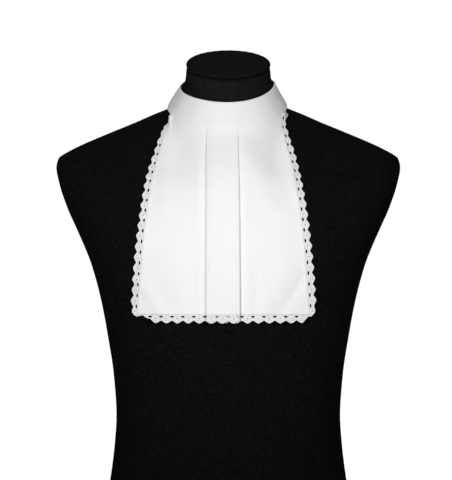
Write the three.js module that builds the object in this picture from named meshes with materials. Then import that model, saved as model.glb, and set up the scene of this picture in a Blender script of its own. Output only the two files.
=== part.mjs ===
// Lace jabot on a limbless dress form, in millimetres.
// Origin: centre of the form's flat underside. +Z is up, the front faces -Y, +X is the viewer's right.
import * as THREE from 'three';

// ---------------------------------------------------------------- driving sizes

const jabot = {
  clearance: 0.8, // between the form and the back of the cloth where it rests
  wall: 1.0, // bib and lace
  seamGap: 0.3, // between two pieces at a seam
  hemZ: 350.5, // height of the bib's hem
  hangZ: 402, // below this height the cloth hangs free of the form
  hangEase: 22, // height over which it leaves the form
  flare: 0.035, // how far the free part swings out, per mm of drop
  seamBlend: 16, // height over which the bib comes away from the neck seam
};

const bandWall = 2.0; // two layers of cotton with a stiffener
const bibBehindBand = 1.6; // the bib's panels run up behind the band's middle
const seamSlack = 0.25; // more room at the seam for the band's slanted lower edge
const backTuckReach = 0.35; // cosine, from the sides backwards, over which backTuck grows
const bandOverlap = { halfAngle: 9, rampAngle: 20, lift: 2.4 }; // at the nape, degrees and mm

// Closed curves round the neck: the band's lower seam and its free top edge.
// sideZ is the height at the sides, drop and dip lower the front, roll tips the whole curve sideways, twist
// tips only its sides, and backTuck draws it in behind them.
const neckSeam = {
  shiftX: -1.2,
  halfWidth: 76.5,
  centreY: 4,
  front: 69,
  back: 60,
  sideZ: 613.5,
  drop: 25,
  dip: 7.5,
  roll: 0.012,
  twist: 0,
  backTuck: 0,
};
const bandTop = {
  shiftX: -1.2,
  halfWidth: 60,
  centreY: -5,
  front: 55.5,
  back: 52.5,
  sideZ: 640.5,
  drop: 22.7,
  dip: 2.7,
  roll: 0,
  twist: 0.04,
  backTuck: 0.02,
};

// Bib, from its neck seam (drop 0) to its hem (drop 1).
const bibRows = [
  { drop: 0.0, halfWidth: 68.5, centreX: -1.4 },
  { drop: 0.04, halfWidth: 70.0, centreX: -3.0 },
  { drop: 0.13, halfWidth: 75.7, centreX: -4.9 },
  { drop: 0.2, halfWidth: 79.4, centreX: -5.5 },
  { drop: 0.37, halfWidth: 89.8, centreX: -6.0 },
  { drop: 0.58, halfWidth: 97.2, centreX: -6.1 },
  { drop: 0.8, halfWidth: 102.8, centreX: -6.2 },
  { drop: 1.0, halfWidth: 106.5, centreX: -6.2 },
];

// The box pleat: its top layer's half width, the depth folded in behind it, and the rise of each layer.
const pleatRows = [
  { drop: 0.0, centreX: -7.4, halfWidth: 19.2, layerRise: 1.4 },
  { drop: 0.5, centreX: -6.6, halfWidth: 19.8, layerRise: 1.7 },
  { drop: 1.0, centreX: -6.2, halfWidth: 20.0, layerRise: 2.2 },
];
const pleatReturn = 16.5; // width of each hidden fold
const foldRadius = 0.75;

// Where the bib's wall has its points: rows down its drop, columns across a panel and across the pleat.
const bibDrops = [
  0, 0.025, 0.055, 0.09, 0.13, 0.17, 0.215, 0.26, 0.31, 0.36,
  0.41, 0.465, 0.52, 0.58, 0.64, 0.7, 0.77, 0.84, 0.92, 1,
];
const panelColumns = [0, 0.12, 0.24, 0.36, 0.48, 0.6, 0.72, 0.84, 1];
const pleatColumns = [-0.5, 0, 0.5];

const lace = {
  inner: 0.6, // where the edging starts, from the cloth's edge
  scallop: 13.5, // length of one repeat
  notch: 6.8, // width of the edging between two scallops
  tip: 10.5, // width at a scallop's tip
  seamTurn: 30, // length over which a side edging turns away from the neck seam
  sideFirstNotch: 11, // from the hem to the lowest notch of a side edging
};
// How each end of an edging narrows: share of the width left at the end, and length over which it is full.
const seamEnd = { share: 0.45, length: 9 };
const cornerEnd = { share: 0.6, length: 4 };
const hemEnd = { share: 0.3, length: 11 };
// Hem edging: bare hem left at its two ends, and the distance from its left end to its first notch.
const hemLaceEnds = { left: 6.7, right: 0.5, firstNotch: 9.6 };
// Slot between two scallops, along the edging and across it.
const slot = { halfLength: 2.15, flatHalf: 1.15, inner: 1.0, outer: 3.3 };
// Rounded-diamond outline of one scallop: share of the repeat, and share of the way from notch to tip.
const scallopOutline = [
  { along: 0, out: 0 },
  { along: 0.13, out: 0.5 },
  { along: 0.31, out: 0.9 },
  { along: 0.5, out: 1.0 },
  { along: 0.69, out: 0.9 },
  { along: 0.87, out: 0.5 },
];

// Torso, by height. Depths are from the plane Y = 0, and square is the power of the section's curve.
const torsoRows = [
  { z: 0, halfWidth: 166, front: 101, back: 106, square: 2.3 },
  { z: 5, halfWidth: 170, front: 105, back: 110, square: 2.3 },
  { z: 50, halfWidth: 169, front: 107, back: 112, square: 2.3 },
  { z: 100, halfWidth: 158.5, front: 105, back: 108, square: 2.3 },
  { z: 141, halfWidth: 150.4, front: 101, back: 99, square: 2.3 },
  { z: 187, halfWidth: 144.9, front: 97, back: 86, square: 2.3 },
  { z: 218, halfWidth: 143, front: 96, back: 81, square: 2.3 },
  { z: 271, halfWidth: 146.5, front: 99, back: 83, square: 2.3 },
  { z: 317, halfWidth: 153.4, front: 104, back: 88, square: 2.3 },
  { z: 363, halfWidth: 161.9, front: 109, back: 95, square: 2.35 },
  { z: 410, halfWidth: 174.3, front: 110, back: 101, square: 2.4 },
  { z: 433, halfWidth: 183.0, front: 107.5, back: 104, square: 2.4 },
  { z: 456, halfWidth: 192.8, front: 101, back: 106, square: 2.4 },
  { z: 486, halfWidth: 206.0, front: 86, back: 105, square: 2.4 },
  { z: 517, halfWidth: 216.3, front: 70, back: 99, square: 2.4 },
  { z: 536, halfWidth: 219.8, front: 58, back: 92, square: 2.4 },
  { z: 548, halfWidth: 217.0, front: 52, back: 86, square: 2.4 },
  { z: 555.5, halfWidth: 205.5, front: 49.5, back: 81, square: 2.35 },
  { z: 563, halfWidth: 190.3, front: 47, back: 76, square: 2.3 },
  { z: 579, halfWidth: 153.5, front: 41, back: 64, square: 2.2 },
  { z: 590, halfWidth: 126.0, front: 36, back: 54, square: 2.1 },
  { z: 602, halfWidth: 96.0, front: 30, back: 44, square: 2.0 },
  { z: 610, halfWidth: 68.0, front: 24, back: 36, square: 2.0 },
  { z: 620, halfWidth: 36.0, front: 18, back: 26, square: 2.0 },
  { z: 663, halfWidth: 20.0, front: 14, back: 18, square: 2.0 },
];

// Neck and breastbone, by height: the section leans forward (degrees) about its own centre.
const neckRows = [
  { z: 0, lean: 0, centreY: 0, halfWidth: 10, front: 10, back: 10 },
  { z: 410, lean: 0, centreY: 0, halfWidth: 40, front: 40, back: 10 },
  { z: 433, lean: 0, centreY: 0, halfWidth: 76, front: 64, back: 10 },
  { z: 456, lean: 0, centreY: 0, halfWidth: 96, front: 86, back: 10 },
  { z: 480, lean: 0, centreY: 0, halfWidth: 104, front: 93, back: 10 },
  { z: 500, lean: 0, centreY: 0, halfWidth: 104, front: 92.5, back: 12 },
  { z: 515, lean: 0.5, centreY: 0, halfWidth: 100, front: 89.5, back: 20 },
  { z: 530, lean: 2, centreY: 0, halfWidth: 95, front: 86, back: 30 },
  { z: 545, lean: 4.5, centreY: 1, halfWidth: 90, front: 82, back: 42 },
  { z: 560, lean: 8, centreY: 2, halfWidth: 86, front: 78.5, back: 54 },
  { z: 575, lean: 12, centreY: 3, halfWidth: 83, front: 74.5, back: 62 },
  { z: 590, lean: 15.5, centreY: 3, halfWidth: 78, front: 69, back: 66 },
  { z: 600, lean: 17.5, centreY: 3, halfWidth: 73, front: 65.5, back: 66 },
  { z: 612, lean: 19, centreY: 1, halfWidth: 65.5, front: 61, back: 62.5 },
  { z: 622, lean: 20, centreY: -1, halfWidth: 60.5, front: 57.5, back: 58 },
  { z: 632, lean: 20.5, centreY: -3, halfWidth: 57.5, front: 54.5, back: 55 },
  { z: 641, lean: 21, centreY: -5, halfWidth: 56, front: 52.5, back: 53 },
  { z: 650, lean: 21.6, centreY: -6.5, halfWidth: 54.4, front: 51.3, back: 51.5 },
  { z: 661, lean: 23, centreY: -8, halfWidth: 53.4, front: 50.2, back: 50.2 },
  { z: 663, lean: 23.2, centreY: -8, halfWidth: 52.4, front: 49.2, back: 49.2 },
];
const blendPower = 6; // how sharply the torso and the neck meet
const formLevels = [
  0, 5, 30, 64, 100, 141, 187, 228, 271, 317, 363, 396, 425, 452, 478, 503, 524, 538,
  548, 555.5, 563, 571, 579, 587, 595, 602, 608, 614, 620, 627, 634, 642, 651, 661, 663,
];
const formColumns = 56;

// Padded disc on the neck: share of its radius, and height above the neck's top.
const capProfile = [
  { share: 0, up: 0.3 },
  { share: 0.965, up: 0.3 },
  { share: 1.0, up: 1.6 },
  { share: 1.012, up: 3.6 },
  { share: 0.995, up: 5.6 },
  { share: 0.94, up: 7.0 },
  { share: 0.8, up: 7.7 },
  { share: 0.4, up: 8.3 },
  { share: 0, up: 8.5 },
];
const capRadius = { x: 53.0, y: 50.2 };
const capColumns = 40;

// ---------------------------------------------------------------- numbers and curves

const radians = THREE.MathUtils.degToRad;

// Smooth, never overshooting value of one column of a table at a place along its first column.
function fromTable(rows, place, along, column) {
  const last = rows.length - 1;
  const t = THREE.MathUtils.clamp(place, rows[0][along], rows[last][along]);
  let i = 0;
  while (i < last - 1 && rows[i + 1][along] < t) i += 1;
  const slope = (k) => (rows[k + 1][column] - rows[k][column]) / (rows[k + 1][along] - rows[k][along]);
  const tangent = (k) => {
    if (k === 0) return slope(0);
    if (k === last) return slope(last - 1);
    const before = slope(k - 1);
    const after = slope(k);
    return before * after <= 0 ? 0 : (2 * before * after) / (before + after);
  };
  const step = rows[i + 1][along] - rows[i][along];
  const u = (t - rows[i][along]) / step;
  const v = 1 - u;
  return (
    rows[i][column] * (1 + 2 * u) * v * v +
    tangent(i) * step * u * v * v +
    rows[i + 1][column] * u * u * (3 - 2 * u) -
    tangent(i + 1) * step * u * u * v
  );
}

const smooth = (share) => {
  const t = THREE.MathUtils.clamp(share, 0, 1);
  return t * t * (3 - 2 * t);
};

// ---------------------------------------------------------------- surface of the dress form

// Everything that sets one section of the form.
function formSection(z) {
  const oval = (rows, power) => ({
    halfWidth: fromTable(rows, z, 'z', 'halfWidth'),
    front: fromTable(rows, z, 'z', 'front'),
    back: fromTable(rows, z, 'z', 'back'),
    power,
  });
  return {
    z,
    lean: radians(fromTable(neckRows, z, 'z', 'lean')),
    centreY: fromTable(neckRows, z, 'z', 'centreY'),
    torso: oval(torsoRows, fromTable(torsoRows, z, 'z', 'square')),
    neck: oval(neckRows, 2),
  };
}

// Radius of a superellipse towards an angle from the front.
function ovalRadius(oval, angle) {
  const depth = Math.cos(angle) > 0 ? oval.front : oval.back;
  const across = Math.abs(Math.sin(angle)) / oval.halfWidth;
  const along = Math.abs(Math.cos(angle)) / depth;
  return (across ** oval.power + along ** oval.power) ** (-1 / oval.power);
}

function sectionRadius(section, angle) {
  const torso = ovalRadius(section.torso, angle);
  const neck = ovalRadius(section.neck, angle);
  const larger = Math.max(torso, neck);
  const ratio = Math.min(torso, neck) / larger;
  return larger * (1 + ratio ** blendPower) ** (1 / blendPower);
}

function sectionPoint(section, angle) {
  const radius = sectionRadius(section, angle);
  const forward = radius * Math.cos(angle);
  return new THREE.Vector3(
    radius * Math.sin(angle),
    section.centreY - forward * Math.cos(section.lean),
    section.z - forward * Math.sin(section.lean),
  );
}

// Angle at which a section is x wide, on its front.
function angleAtX(section, x) {
  let low = 0;
  let high = Math.PI / 2;
  for (let i = 0; i < 18; i += 1) {
    const middle = (low + high) / 2;
    if (sectionRadius(section, middle) * Math.sin(middle) < Math.abs(x)) low = middle;
    else high = middle;
  }
  return Math.sign(x) * low;
}

// Depth of the form's front at a point of its front view.
function formFront(x, z) {
  let level = z;
  let point = null;
  for (let i = 0; i < 6; i += 1) {
    const section = formSection(level);
    point = sectionPoint(section, angleAtX(section, x));
    level += z - point.z;
  }
  return point.y;
}

// ---------------------------------------------------------------- surface of the cloth

// Point of a closed curve round the neck, at an angle from the front.
function neckLoop(loop, angle) {
  const forward = Math.cos(angle);
  const tuck = 1 - loop.backTuck * smooth(-forward / backTuckReach);
  const x = loop.shiftX + loop.halfWidth * Math.sin(angle) * tuck;
  const tip = loop.roll + loop.twist * (x / loop.halfWidth) ** 2;
  const depth = forward > 0 ? loop.front : loop.back;
  return new THREE.Vector3(
    x,
    loop.centreY - depth * forward,
    loop.sideZ - loop.drop * forward - loop.dip * forward * forward + tip * x,
  );
}

function seamPointAtX(x) {
  const share = THREE.MathUtils.clamp((x - neckSeam.shiftX) / neckSeam.halfWidth, -0.995, 0.995);
  return neckLoop(neckSeam, Math.asin(share));
}

// Depth of the cloth's middle where it rests on the form, its clearance taken square to the form.
function restingFront(x, z) {
  const reach = 1.5;
  const depth = formFront(x, z);
  const slopeX = (formFront(x + Math.sign(x) * reach, z) - depth) / reach;
  const slopeZ = (depth - formFront(x, z - reach)) / reach;
  return depth - (jabot.clearance + jabot.wall / 2) * Math.sqrt(1 + slopeX * slopeX + slopeZ * slopeZ);
}

// Height at which the cloth last touches the form above a given height, eased into the free fall.
function restingHeight(z) {
  const above = z - jabot.hangZ;
  if (above > jabot.hangEase) return z;
  if (above < -jabot.hangEase) return jabot.hangZ;
  return jabot.hangZ + (above + jabot.hangEase) ** 2 / (4 * jabot.hangEase);
}

// Depth of the draped cloth's middle at a point of its front view.
function clothFront(x, z) {
  const seam = seamPointAtX(x);
  const height = Math.min(z, seam.z);
  const resting = Math.min(restingHeight(height), seam.z);
  const draped = restingFront(x, resting) - jabot.flare * (resting - height);
  const nearSeam = 1 - smooth((seam.z - height) / jabot.seamBlend);
  const seamMiss = nearSeam > 0 ? seam.y + bibBehindBand - restingFront(x, seam.z) : 0;
  return draped + seamMiss * nearSeam;
}

// Direction out of the cloth at a point of its front view.
function clothNormal(x, z) {
  const reach = 1.5;
  const slopeX = (clothFront(x + reach, z) - clothFront(x - reach, z)) / (2 * reach);
  const slopeZ = (clothFront(x, z) - clothFront(x, z - 2 * reach)) / (2 * reach);
  return new THREE.Vector3(slopeX, -1, slopeZ).normalize();
}

// Point of the cloth at its front view's x and z, risen out of its middle; it stays at that height.
function clothPoint(x, z, rise) {
  const normal = clothNormal(x, z);
  const lower = z - normal.z * rise;
  const middle = new THREE.Vector3(x, clothFront(x, lower), lower);
  return middle.addScaledVector(normal, rise);
}

// Height of the bib at a share of its drop, below a given x.
function bibHeight(x, drop) {
  const top = seamPointAtX(x).z - jabot.seamGap - seamSlack;
  return top + (jabot.hemZ - top) * drop;
}

// ---------------------------------------------------------------- closed bodies from sections

// Joins equal closed sections into one body, with a strip or a fan at each end.
function bodyFromSections(sections, capEnds) {
  const count = sections[0].length;
  const positions = sections.flat().flatMap((p) => [p.x, p.y, p.z]);
  const triangles = [];
  for (let i = 0; i + 1 < sections.length; i += 1) {
    for (let k = 0; k < count; k += 1) {
      const a = i * count + k;
      const b = i * count + ((k + 1) % count);
      triangles.push(a, b, b + count, a, b + count, a + count);
    }
  }
  capEnds(triangles, positions, sections);
  const geometry = new THREE.BufferGeometry();
  geometry.setAttribute('position', new THREE.Float32BufferAttribute(positions, 3));
  geometry.setIndex(triangles);
  geometry.computeVertexNormals();
  return geometry;
}

// Ends closed by a fan about their middle.
function capWithFans(triangles, positions, sections) {
  const count = sections[0].length;
  [0, sections.length - 1].forEach((row) => {
    const middle = new THREE.Vector3();
    sections[row].forEach((p) => middle.addScaledVector(p, 1 / count));
    const centre = positions.length / 3;
    positions.push(middle.x, middle.y, middle.z);
    for (let k = 0; k < count; k += 1) {
      const a = row * count + k;
      const b = row * count + ((k + 1) % count);
      if (row === 0) triangles.push(centre, b, a);
      else triangles.push(centre, a, b);
    }
  });
}

// Ends closed across a wall: the section runs out along one face and back along the other.
function capAcrossWall(triangles, positions, sections) {
  const count = sections[0].length;
  const half = count / 2;
  [0, sections.length - 1].forEach((row) => {
    for (let k = 0; k + 1 < half; k += 1) {
      const a = row * count + k;
      const b = a + 1;
      const c = row * count + (count - 2 - k);
      const d = c + 1;
      if (row === 0) triangles.push(a, c, b, a, d, c);
      else triangles.push(a, b, c, a, c, d);
    }
  });
}

function cloth(name, colour, roughness, geometry) {
  const material = new THREE.MeshStandardMaterial({ color: colour, roughness, metalness: 0 });
  const mesh = new THREE.Mesh(geometry, material);
  mesh.name = name;
  return mesh;
}

const blackCloth = { colour: 0x15161a, roughness: 0.85 };
const whiteCotton = { colour: 0xf3f3f4, roughness: 0.8 };
const whiteLace = { colour: 0xf6f6f6, roughness: 0.7 };

// ---------------------------------------------------------------- dress form

function formBody() {
  const sections = formLevels.map((z) => {
    const section = formSection(z);
    const across = Math.max(section.torso.halfWidth, section.neck.halfWidth);
    return Array.from({ length: formColumns }, (_, k) => {
      const turn = (2 * Math.PI * k) / formColumns;
      const depthOf = Math.cos(turn) > 0 ? 'front' : 'back';
      const depth = Math.max(section.torso[depthOf], section.neck[depthOf]);
      return sectionPoint(section, Math.atan2(across * Math.sin(turn), depth * Math.cos(turn)));
    });
  });
  return cloth('form_body', blackCloth.colour, blackCloth.roughness, bodyFromSections(sections, capWithFans));
}

function formNeckCap() {
  const outline = capProfile.map((p) => new THREE.Vector2(p.share, p.up));
  const geometry = new THREE.LatheGeometry(outline, capColumns);
  geometry.scale(capRadius.x, 1, capRadius.y);
  geometry.rotateX(Math.PI / 2);
  const mesh = cloth('form_neck_cap', blackCloth.colour, blackCloth.roughness, geometry);
  const top = formSection(formLevels[formLevels.length - 1]);
  mesh.position.set(0, top.centreY, top.z);
  mesh.rotation.x = top.lean;
  return mesh;
}

// ---------------------------------------------------------------- neck band

function neckBand() {
  const columns = 54;
  const heights = [0, 0.5, 1];
  const end = 180 + bandOverlap.halfAngle;
  const rampStart = end - 2 * bandOverlap.halfAngle - bandOverlap.rampAngle;
  const sections = Array.from({ length: columns + 1 }, (_, k) => {
    const degrees = -end + (2 * end * k) / columns;
    const angle = radians(degrees);
    const lift = bandOverlap.lift * smooth((degrees - rampStart) / bandOverlap.rampAngle);
    const low = neckLoop(neckSeam, angle);
    const high = neckLoop(bandTop, angle);
    const step = 0.01;
    const along = neckLoop(neckSeam, angle + step).sub(neckLoop(neckSeam, angle - step));
    const up = high.clone().sub(low);
    const out = along.cross(up).normalize();
    const face = (side) => heights.map((share) => low.clone().addScaledVector(up, share)
      .addScaledVector(out, lift + side * bandWall / 2));
    return [...face(-1), ...face(1).reverse()];
  });
  return cloth('band', whiteCotton.colour, whiteCotton.roughness, bodyFromSections(sections, capAcrossWall));
}

// ---------------------------------------------------------------- bib with its box pleat

// The cloth's path across the bib at a share of its drop: x, and rise above the panel.
// It runs left panel, fold in, return, fold out, pleat, and the same again mirrored.
function bibPath(drop) {
  const row = (column) => fromTable(bibRows, drop, 'drop', column);
  const pleat = (column) => fromTable(pleatRows, drop, 'drop', column);
  const centre = pleat('centreX');
  const rise = pleat('layerRise');
  const fold = pleat('halfWidth') - foldRadius;
  const innerFold = fold - pleatReturn;
  const side = (sign) => {
    const edge = row('centreX') + sign * row('halfWidth');
    const panelEnd = centre + sign * innerFold;
    const panel = panelColumns.map((share) => ({ x: edge + (panelEnd - edge) * share, rise: 0 }));
    const folds = [
      { x: panelEnd - sign * foldRadius, rise: 0.5 * rise },
      { x: panelEnd, rise },
      { x: centre + sign * fold, rise },
      { x: centre + sign * (fold + foldRadius), rise: 1.5 * rise },
      { x: centre + sign * fold, rise: 2 * rise },
    ];
    return [...panel, ...folds];
  };
  const top = pleatColumns.map((share) => ({ x: centre + fold * share, rise: 2 * rise }));
  return [...side(-1), ...top, ...side(1).reverse()];
}

// The two faces of a wall about a path, as offsets in x and in rise.
function wallFaces(path, wall) {
  const face = (side) => path.map((p, k) => {
    const before = path[Math.max(k - 1, 0)];
    const after = path[Math.min(k + 1, path.length - 1)];
    const directionIn = new THREE.Vector2(p.x - before.x, p.rise - before.rise).normalize();
    const directionOut = new THREE.Vector2(after.x - p.x, after.rise - p.rise).normalize();
    const direction = directionIn.add(directionOut).normalize();
    return { x: p.x - side * direction.y * wall / 2, rise: p.rise + side * direction.x * wall / 2 };
  });
  return { outer: face(1), inner: face(-1) };
}

function bib() {
  const sections = bibDrops.map((drop) => {
    const faces = wallFaces(bibPath(drop), jabot.wall);
    const place = (p) => clothPoint(p.x, bibHeight(p.x, drop), p.rise);
    return [...faces.inner.map(place), ...faces.outer.map(place).reverse()];
  });
  return cloth('bib', whiteCotton.colour, whiteCotton.roughness, bodyFromSections(sections, capAcrossWall));
}

// ---------------------------------------------------------------- lace edging

// Outer edge of an edging: its width at each corner of its scallops, narrowed towards both ends.
function laceOutline(length, firstNotch, ends) {
  const corners = [];
  for (let start = firstNotch - lace.scallop; start < length; start += lace.scallop) {
    scallopOutline.forEach((p) => corners.push({
      s: start + p.along * lace.scallop,
      w: lace.notch + (lace.tip - lace.notch) * p.out,
    }));
  }
  const widthAt = (s) => {
    const i = corners.findIndex((corner) => corner.s > s) - 1;
    const share = (s - corners[i].s) / (corners[i + 1].s - corners[i].s);
    const full = corners[i].w + (corners[i + 1].w - corners[i].w) * share;
    const kept = (end, distance) => end.share + (1 - end.share) * smooth(distance / end.length);
    return full * kept(ends[0], s) * kept(ends[1], length - s);
  };
  return { corners, widthAt };
}

// Pieces of an edging from one cut to the next: it is cut at its notches, and across at its folds.
function laceCells(length, firstNotch, folds) {
  const notches = [];
  for (let s = firstNotch; s < length - lace.scallop * 0.3; s += lace.scallop) notches.push(s);
  const clearOfFolds = (s) => folds.every((fold) => Math.abs(fold - s) > slot.halfLength + jabot.wall);
  const slots = notches.filter(clearOfFolds);
  const cuts = [0, ...slots, ...folds, length].sort((a, b) => a - b);
  return cuts.slice(0, -1).map((start, k) => ({
    start,
    end: cuts[k + 1],
    slotAtStart: slots.includes(start),
    slotAtEnd: slots.includes(cuts[k + 1]),
  }));
}

// Outline of a cell, counter-clockwise in (s, w), with half a slot at a side that has one.
function cellOutline(cell, outline) {
  const halfSlot = (at, sign) => [
    { s: at, w: slot.inner },
    { s: at + sign * slot.flatHalf, w: slot.inner },
    { s: at + sign * slot.halfLength, w: (slot.inner + slot.outer) / 2 },
    { s: at + sign * slot.flatHalf, w: slot.outer },
    { s: at, w: slot.outer },
  ];
  const least = 0.4; // no corner nearer to a cut than this
  const outer = outline.corners
    .filter((corner) => corner.s > cell.start + least && corner.s < cell.end - least)
    .map((corner) => ({ s: corner.s, w: outline.widthAt(corner.s) }));
  return [
    { s: cell.start, w: lace.inner },
    { s: cell.end, w: lace.inner },
    ...(cell.slotAtEnd ? halfSlot(cell.end, -1) : []),
    { s: cell.end, w: outline.widthAt(cell.end) },
    ...outer.reverse(),
    { s: cell.start, w: outline.widthAt(cell.start) },
    ...(cell.slotAtStart ? halfSlot(cell.start, 1).reverse() : []),
  ];
}

// One edging as a wall: place(s, w, side) gives the point of its front (side 1) or back (side -1).
function laceEdging(length, firstNotch, ends, folds, place) {
  const positions = [];
  const triangles = [];
  const outline = laceOutline(length, firstNotch, ends);
  laceCells(length, firstNotch, folds).forEach((cell) => {
    const corners = cellOutline(cell, outline);
    const flat = corners.map((p) => new THREE.Vector2(p.s, p.w));
    const start = positions.length / 3;
    [1, -1].forEach((side) => {
      corners.forEach((p) => positions.push(...place(p.s, p.w, side).toArray()));
    });
    const count = corners.length;
    THREE.ShapeUtils.triangulateShape(flat, []).forEach(([a, b, c]) => {
      triangles.push(start + c, start + a, start + b);
      triangles.push(start + count + b, start + count + a, start + count + c);
    });
    corners.forEach((p, k) => {
      const next = corners[(k + 1) % count];
      const joinsNeighbour = p.s === next.s && p.s > 0 && p.s < length;
      if (joinsNeighbour) return;
      const a = start + k;
      const b = start + ((k + 1) % count);
      triangles.push(b + count, a, a + count, b, a, b + count);
    });
  });
  const geometry = new THREE.BufferGeometry();
  geometry.setAttribute('position', new THREE.Float32BufferAttribute(positions, 3));
  geometry.setIndex(triangles);
  return geometry;
}

// A measured path: points at their distance along it.
function measuredPath(points) {
  const lengths = [0];
  for (let i = 1; i < points.length; i += 1) {
    lengths.push(lengths[i - 1] + points[i].distanceTo(points[i - 1]));
  }
  return { points, lengths, length: lengths[lengths.length - 1] };
}

// Share of the path's own parameter at a distance along it.
function shareAt(path, s) {
  let i = 0;
  while (i < path.lengths.length - 2 && path.lengths[i + 1] < s) i += 1;
  const step = path.lengths[i + 1] - path.lengths[i];
  return (i + (s - path.lengths[i]) / step) / (path.lengths.length - 1);
}

// Edging down one side of the bib, from the hem's corner up to the neck seam.
function sideLace(name, sign) {
  const rowEdges = bibDrops.map((drop) => {
    const row = (column) => fromTable(bibRows, drop, 'drop', column);
    const x = row('centreX') + sign * row('halfWidth');
    return { drop, x, z: bibHeight(x, drop) };
  });
  const edgeAt = (drop) => {
    let i = 0;
    while (i < rowEdges.length - 2 && rowEdges[i + 1].drop < drop) i += 1;
    const [above, below] = [rowEdges[i], rowEdges[i + 1]];
    const share = (drop - above.drop) / (below.drop - above.drop);
    return { x: above.x + (below.x - above.x) * share, z: above.z + (below.z - above.z) * share };
  };
  const steps = 160;
  const path = measuredPath(Array.from({ length: steps + 1 }, (_, k) => {
    const edge = edgeAt(1 - k / steps);
    return clothPoint(edge.x, edge.z, 0);
  }));
  const outwardAt = (drop) => {
    const edge = edgeAt(drop);
    const reach = 0.01;
    const above = edgeAt(Math.max(drop - reach, 0));
    const below = edgeAt(Math.min(drop + reach, 1));
    const along = clothPoint(above.x, above.z, 0).sub(clothPoint(below.x, below.z, 0)).normalize();
    const across = along.clone().cross(clothNormal(edge.x, edge.z)).normalize();
    if (Math.sign(across.x) !== sign) across.negate();
    const seamward = clothPoint(edge.x + sign, bibHeight(edge.x + sign, drop), 0)
      .sub(clothPoint(edge.x, edge.z, 0)).normalize();
    const turn = smooth((path.length - path.lengths[Math.round((1 - drop) * steps)]) / lace.seamTurn);
    return seamward.lerp(across, turn).normalize();
  };
  const place = (s, w, side) => {
    const drop = 1 - shareAt(path, s);
    const edge = edgeAt(drop);
    const out = outwardAt(drop);
    return clothPoint(edge.x + out.x * w, edge.z + out.z * w, side * jabot.wall / 2);
  };
  const length = path.length - jabot.seamGap;
  const geometry = laceEdging(length, lace.sideFirstNotch, [cornerEnd, seamEnd], [], place);
  return cloth(name, whiteLace.colour, whiteLace.roughness, sign > 0 ? flipped(geometry) : geometry);
}

// The same body with its faces turned round.
function flipped(geometry) {
  const index = geometry.getIndex();
  for (let i = 0; i < index.count; i += 3) {
    const second = index.getX(i + 1);
    index.setX(i + 1, index.getX(i + 2));
    index.setX(i + 2, second);
  }
  return geometry;
}

// Edging along the hem, pleated with the bib: it follows the bib's path between its two ends.
function hemLace() {
  const stations = bibPath(1);
  const edgeLeft = stations[0].x + hemLaceEnds.left;
  const edgeRight = stations[stations.length - 1].x - hemLaceEnds.right;
  const inside = stations.filter((p) => p.rise > 0 || (p.x > edgeLeft + 1 && p.x < edgeRight - 1));
  const corners = [{ x: edgeLeft, rise: 0 }, ...inside, { x: edgeRight, rise: 0 }];
  const path = measuredPath(corners.map((p) => new THREE.Vector3(p.x, p.rise, 0)));
  const faces = wallFaces(corners, jabot.wall);
  const turns = corners.map((p, k) => k > 0 && k < corners.length - 1
    && (corners[k - 1].rise !== p.rise || corners[k + 1].rise !== p.rise));
  const folds = path.lengths.filter((_, k) => turns[k]);
  const place = (s, w, side) => {
    const face = side > 0 ? faces.outer : faces.inner;
    const position = shareAt(path, s) * (corners.length - 1);
    const i = Math.min(Math.floor(position), corners.length - 2);
    const x = THREE.MathUtils.lerp(face[i].x, face[i + 1].x, position - i);
    const rise = THREE.MathUtils.lerp(face[i].rise, face[i + 1].rise, position - i);
    return clothPoint(x, jabot.hemZ - w, rise);
  };
  const geometry = flipped(laceEdging(path.length, hemLaceEnds.firstNotch, [hemEnd, hemEnd], folds, place));
  return cloth('lace_hem', whiteLace.colour, whiteLace.roughness, geometry);
}

// ---------------------------------------------------------------- the whole part

const dressForm = new THREE.Group();
dressForm.add(formBody(), formNeckCap());

const laceJabot = new THREE.Group();
laceJabot.add(neckBand(), bib(), sideLace('lace_left', -1), sideLace('lace_right', 1), hemLace());

const part = new THREE.Group();
part.add(dressForm, laceJabot);

export default part;
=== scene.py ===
"""Lace jabot on a dress form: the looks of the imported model. Sizes are in millimetres, meshes in metres."""

import math

import bpy
import numpy as np
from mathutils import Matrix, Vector


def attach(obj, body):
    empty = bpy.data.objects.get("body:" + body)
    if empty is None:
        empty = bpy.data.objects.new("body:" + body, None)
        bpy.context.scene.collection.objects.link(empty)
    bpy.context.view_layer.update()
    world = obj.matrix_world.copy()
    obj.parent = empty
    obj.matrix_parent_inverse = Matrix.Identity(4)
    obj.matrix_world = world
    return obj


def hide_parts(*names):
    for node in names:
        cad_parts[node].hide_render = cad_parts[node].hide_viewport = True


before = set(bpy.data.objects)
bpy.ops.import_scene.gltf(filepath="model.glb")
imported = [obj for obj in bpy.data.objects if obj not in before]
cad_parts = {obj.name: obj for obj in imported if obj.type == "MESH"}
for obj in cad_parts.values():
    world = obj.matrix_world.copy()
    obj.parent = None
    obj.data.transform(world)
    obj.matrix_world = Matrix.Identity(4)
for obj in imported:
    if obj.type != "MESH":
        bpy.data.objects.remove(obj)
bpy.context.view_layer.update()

MM = 0.001

# ---------------- camera

PICTURE = {"width": 452, "height": 480}  # pixels
FORM_CENTRE_COLUMN = 228.3  # pixel column of the form's middle
MM_PER_PIXEL = 1.28  # at the plane Y = 0
CAMERA_DISTANCE = 3000
SENSOR = 36

view_height = PICTURE["height"] * MM_PER_PIXEL
camera_x = (PICTURE["width"] / 2 - FORM_CENTRE_COLUMN) * MM_PER_PIXEL
camera_z = 442.9

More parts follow.
